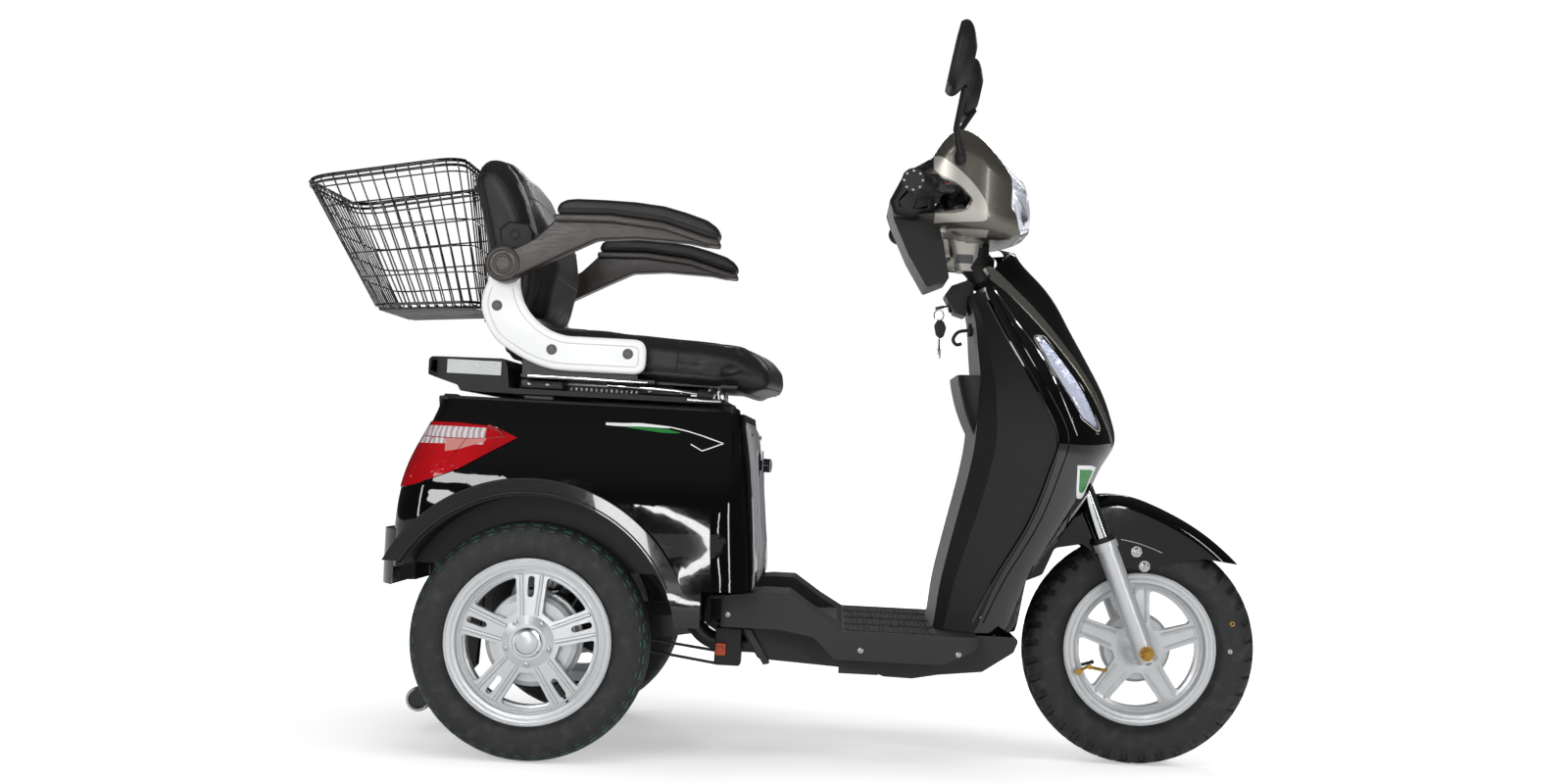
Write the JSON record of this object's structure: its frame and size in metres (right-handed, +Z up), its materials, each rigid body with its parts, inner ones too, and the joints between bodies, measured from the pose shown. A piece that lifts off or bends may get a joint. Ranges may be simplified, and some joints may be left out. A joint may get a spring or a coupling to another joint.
{
  "type": "electric three-wheel scooter",
  "caption": "Electric three-wheel mobility scooter with a steered front wheel, padded seat, flip-up armrests, wire basket and a box body over the rear wheels.",
  "frame": {"origin": "on the ground under the middle of the overall length and width", "axes": "+X forward, +Y to the vehicle's left, +Z up"},
  "size_m": [1.762, 0.7074, 1.353],
  "materials": {
    "gloss_black_paint": "gloss",
    "matt_black_plastic": "satin",
    "frame_paint": "satin",
    "battery_case": "matte",
    "tyre_rubber": "matte",
    "wheel_silver": "satin",
    "bare_steel": "satin",
    "silver_paint": "satin",
    "cover_grey": "satin",
    "arm_plastic": "satin",
    "white_plastic": "satin",
    "black_leatherette": "satin",
    "basket_wire_black": "gloss",
    "red_lens": "gloss",
    "clear_lens": "gloss",
    "reflector_white": "gloss",
    "mirror_shell": "satin",
    "grip_rubber": "matte"
  },
  "bodies": {
    "chassis": {"main_frame": "frame_paint", "battery_block": "battery_case", "motor_axle": "bare_steel", "rear_shocks": "bare_steel", "anti_tip_brackets": "frame_paint", "rear_body": "gloss_black_paint", "tail_lights": "red_lens", "wheel_arch_liners": "matt_black_plastic", "rear_bumper": "matt_black_plastic", "battery_cover": "cover_grey", "footboard": "matt_black_plastic", "belly_pan": "matt_black_plastic", "front_apron": "gloss_black_paint", "leg_shield": "matt_black_plastic", "side_lamps": "clear_lens", "ignition_lock": "matt_black_plastic"},
    "seat_lid": {"seat_deck": "matt_black_plastic", "deck_reflectors": "reflector_white", "seat_rails": "bare_steel"},
    "seat": {"seat_frame": "frame_paint", "seat_cushion": "black_leatherette", "backrest": "black_leatherette", "seat_brackets": "white_plastic", "basket": "basket_wire_black"},
    "arm_left": {"armrest_left": "arm_plastic", "arm_pad_left": "black_leatherette"},
    "arm_right": {"armrest_right": "arm_plastic", "arm_pad_right": "black_leatherette"},
    "steering": {"fork": "wheel_silver", "front_mudguard": "gloss_black_paint", "handlebar": "bare_steel", "grips": "grip_rubber", "brake_levers": "matt_black_plastic", "head_cowl": "silver_paint", "dash_panel": "matt_black_plastic", "headlight_lens": "clear_lens", "mirrors": "mirror_shell"},
    "front_wheel": {"front_tyre": "tyre_rubber", "front_rim": "wheel_silver"},
    "rear_wheel_left": {"rear_tyre_left": "tyre_rubber", "rear_rim_left": "wheel_silver"},
    "rear_wheel_right": {"rear_tyre_right": "tyre_rubber", "rear_rim_right": "wheel_silver"},
    "tip_wheel_left": {"anti_tip_wheel_left": "grip_rubber"},
    "tip_wheel_right": {"anti_tip_wheel_right": "grip_rubber"}
  },
  "joints": [
    {"name": "seat_lid_hinge", "type": "hinge", "parent": "chassis", "child": "seat_lid", "pos_m": [-0.11, 0, 0.615], "axis": [0, 1, 0], "range_deg": [0, 50]},
    {"name": "seat_slide", "type": "slide", "parent": "seat_lid", "child": "seat", "axis": [1, 0, 0], "range_m": [0, 0.08]},
    {"name": "armrest_left_flip", "type": "hinge", "parent": "seat", "child": "arm_left", "pos_m": [-0.497, 0, 0.84], "axis": [0, -1, 0], "range_deg": [0, 95]},
    {"name": "armrest_right_flip", "type": "hinge", "parent": "seat", "child": "arm_right", "pos_m": [-0.497, 0, 0.84], "axis": [0, -1, 0], "range_deg": [0, 95]},
    {"name": "steering_turn", "type": "hinge", "parent": "chassis", "child": "steering", "pos_m": [0.63378, 0, 0.20132], "axis": [-0.3907, 0, 0.9205], "range_deg": [-40, 40]},
    {"name": "front_wheel_spin", "type": "hinge", "parent": "steering", "child": "front_wheel", "pos_m": [0.666, 0, 0.215], "axis": [0, 1, 0], "continuous": true},
    {"name": "rear_wheel_left_spin", "type": "hinge", "parent": "chassis", "child": "rear_wheel_left", "pos_m": [-0.414, 0.29, 0.203], "axis": [0, 1, 0], "continuous": true},
    {"name": "rear_wheel_right_spin", "type": "hinge", "parent": "chassis", "child": "rear_wheel_right", "pos_m": [-0.414, -0.29, 0.203], "axis": [0, 1, 0], "continuous": true},
    {"name": "tip_wheel_left_spin", "type": "hinge", "parent": "chassis", "child": "tip_wheel_left", "pos_m": [-0.643, 0.1, 0.065], "axis": [0, 1, 0], "continuous": true},
    {"name": "tip_wheel_right_spin", "type": "hinge", "parent": "chassis", "child": "tip_wheel_right", "pos_m": [-0.643, -0.1, 0.065], "axis": [0, 1, 0], "continuous": true}
  ]
}
